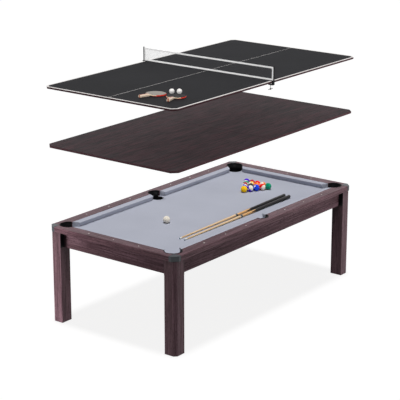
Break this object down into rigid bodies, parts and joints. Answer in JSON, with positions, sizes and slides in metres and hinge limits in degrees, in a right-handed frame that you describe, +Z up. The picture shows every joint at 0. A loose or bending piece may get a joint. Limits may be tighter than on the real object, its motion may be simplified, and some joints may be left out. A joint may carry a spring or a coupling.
{
  "type": "multi game table",
  "caption": "Wooden pool table with drop pockets, and a two-piece dining top and a two-piece table tennis top that lower onto it, with cues, balls, net and paddles.",
  "frame": {"origin": "on the floor under the middle of the table", "axes": "+Z up; +X along the long side, towards the racked balls; +Y across the table, away from the cues"},
  "size_m": [2.43, 1.319, 2.0321],
  "materials": {
    "frame_wood": "satin espresso stain over an open grain",
    "board_wood": "raw board",
    "cloth": "fine woven wool cloth, stretched",
    "cushion": "rubber under the bed's cloth",
    "pocket_plastic": "matt black moulding",
    "cap_plastic": "satin dark grey moulding",
    "ball_resin": "polished resin in several colours",
    "cue_ball_resin": "polished ivory-white resin",
    "cue_maple": "clear lacquer over maple",
    "cue_lacquer": "gloss black lacquer",
    "dining_wood": "dark wood grain, satin",
    "tennis_board": "matt black paint with white lines",
    "net_tape": "white woven tape",
    "net_mesh": "knotted black cord",
    "clamp_steel": "black powder coat",
    "presser_rubber": "soft black rubber",
    "screw_steel": "zinc plated",
    "paddle_wood": "bare plywood, oiled",
    "paddle_rubber": "smooth inverted rubber",
    "tennis_ball_plastic": "matt celluloid white"
  },
  "bodies": {
    "table": {"leg_near_left": "frame_wood", "leg_near_right": "frame_wood", "leg_far_right": "frame_wood", "leg_far_left": "frame_wood", "apron_near": "frame_wood", "apron_far": "frame_wood", "apron_left": "frame_wood", "apron_right": "frame_wood", "cross_beam_1": "board_wood", "cross_beam_2": "board_wood", "cross_beam_3": "board_wood", "cross_beam_4": "board_wood", "bed_board": "board_wood", "bed_cloth": "cloth", "rail_near": "frame_wood", "rail_far": "frame_wood", "rail_left": "frame_wood", "rail_right": "frame_wood", "cap_near_left": "cap_plastic", "cap_near_right": "cap_plastic", "cap_far_right": "cap_plastic", "cap_far_left": "cap_plastic", "cushion_near_left": "cushion", "cushion_near_right": "cushion", "cushion_far_left": "cushion", "cushion_far_right": "cushion", "cushion_left": "cushion", "cushion_right": "cushion", "pocket_near_left": "pocket_plastic", "pocket_near_right": "pocket_plastic", "pocket_far_right": "pocket_plastic", "pocket_far_left": "pocket_plastic", "pocket_near": "pocket_plastic", "pocket_far": "pocket_plastic"},
    "dining_left": {"dining_top_left": "dining_wood"},
    "dining_right": {"dining_top_right": "dining_wood"},
    "tennis_left": {"tennis_top_left": "tennis_board", "net_tape": "net_tape", "net_mesh": "net_mesh", "net_clamp_near": "clamp_steel", "net_clamp_far": "clamp_steel"},
    "tennis_right": {"tennis_top_right": "tennis_board"},
    "presser_near": {"net_presser_near": "presser_rubber"},
    "presser_far": {"net_presser_far": "presser_rubber"},
    "screw_near": {"net_screw_near": "screw_steel"},
    "screw_far": {"net_screw_far": "screw_steel"},
    "paddle_a": {"paddle_1": "paddle_wood", "paddle_1_rubber_top": "paddle_rubber", "paddle_1_rubber_bottom": "paddle_rubber"},
    "paddle_b": {"paddle_2": "paddle_wood", "paddle_2_rubber_top": "paddle_rubber", "paddle_2_rubber_bottom": "paddle_rubber"},
    "tennis_ball_a": {"tennis_ball_1": "tennis_ball_plastic"},
    "tennis_ball_b": {"tennis_ball_2": "tennis_ball_plastic"},
    "cue_a": {"cue_1_shaft": "cue_maple", "cue_1_butt": "cue_lacquer"},
    "cue_b": {"cue_2_shaft": "cue_maple", "cue_2_butt": "cue_lacquer"},
    "white_ball": {"cue_ball": "cue_ball_resin"},
    "rack": {"racked_balls": "ball_resin"}
  },
  "joints": [
    {"name": "dining_lift", "type": "slide", "parent": "table", "child": "dining_left", "axis": [0, 0, 1], "range_m": [-0.6203, 0]},
    {"name": "dining_part", "type": "slide", "parent": "dining_left", "child": "dining_right", "axis": [1, 0, 0], "range_m": [0, 0.06]},
    {"name": "tennis_lift", "type": "slide", "parent": "dining_left", "child": "tennis_left", "axis": [0, 0, 1], "range_m": [-0.38, 0]},
    {"name": "tennis_part", "type": "slide", "parent": "tennis_left", "child": "tennis_right", "axis": [1, 0, 0], "range_m": [0, 0.06]},
    {"name": "net_presser_near_slide", "type": "slide", "parent": "tennis_left", "child": "presser_near", "axis": [0, 0, 1], "range_m": [-0.006, 0]},
    {"name": "net_screw_near_turn", "type": "hinge", "parent": "presser_near", "child": "screw_near", "pos_m": [0, -0.622, 1.88], "axis": [0, 0, 1], "range_deg": [0, 1080]},
    {"name": "net_presser_far_slide", "type": "slide", "parent": "tennis_left", "child": "presser_far", "axis": [0, 0, 1], "range_m": [-0.006, 0]},
    {"name": "net_screw_far_turn", "type": "hinge", "parent": "presser_far", "child": "screw_far", "pos_m": [0, 0.622, 1.88], "axis": [0, 0, 1], "range_deg": [0, 1080]},
    {"name": "paddle_1_lift", "type": "slide", "parent": "tennis_left", "child": "paddle_a", "axis": [0, 0, 1], "range_m": [0, 0.25]},
    {"name": "paddle_2_lift", "type": "slide", "parent": "tennis_left", "child": "paddle_b", "axis": [0, 0, 1], "range_m": [0, 0.25]},
    {"name": "tennis_ball_1_roll", "type": "slide", "parent": "tennis_left", "child": "tennis_ball_a", "axis": [1, 0, 0], "range_m": [0, 0.74]},
    {"name": "tennis_ball_2_roll", "type": "slide", "parent": "tennis_left", "child": "tennis_ball_b", "axis": [1, 0, 0], "range_m": [0, 0.74]},
    {"name": "cue_1_slide", "type": "slide", "parent": "table", "child": "cue_a", "axis": [1, 0, 0], "range_m": [-0.3, 0.35]},
    {"name": "cue_2_slide", "type": "slide", "parent": "table", "child": "cue_b", "axis": [1, 0, 0], "range_m": [-0.3, 0.35]},
    {"name": "cue_ball_roll", "type": "slide", "parent": "table", "child": "white_ball", "axis": [1, 0, 0], "range_m": [-0.55, 0.96]},
    {"name": "rack_slide", "type": "slide", "parent": "table", "child": "rack", "axis": [1, 0, 0], "range_m": [-0.05, 0.25]}
  ],
  "couplings": [
    {"joint": "net_presser_near_slide", "follows": "net_screw_near_turn", "m_per_rad": -0.00031831},
    {"joint": "net_presser_far_slide", "follows": "net_screw_far_turn", "m_per_rad": -0.00031831}
  ]
}
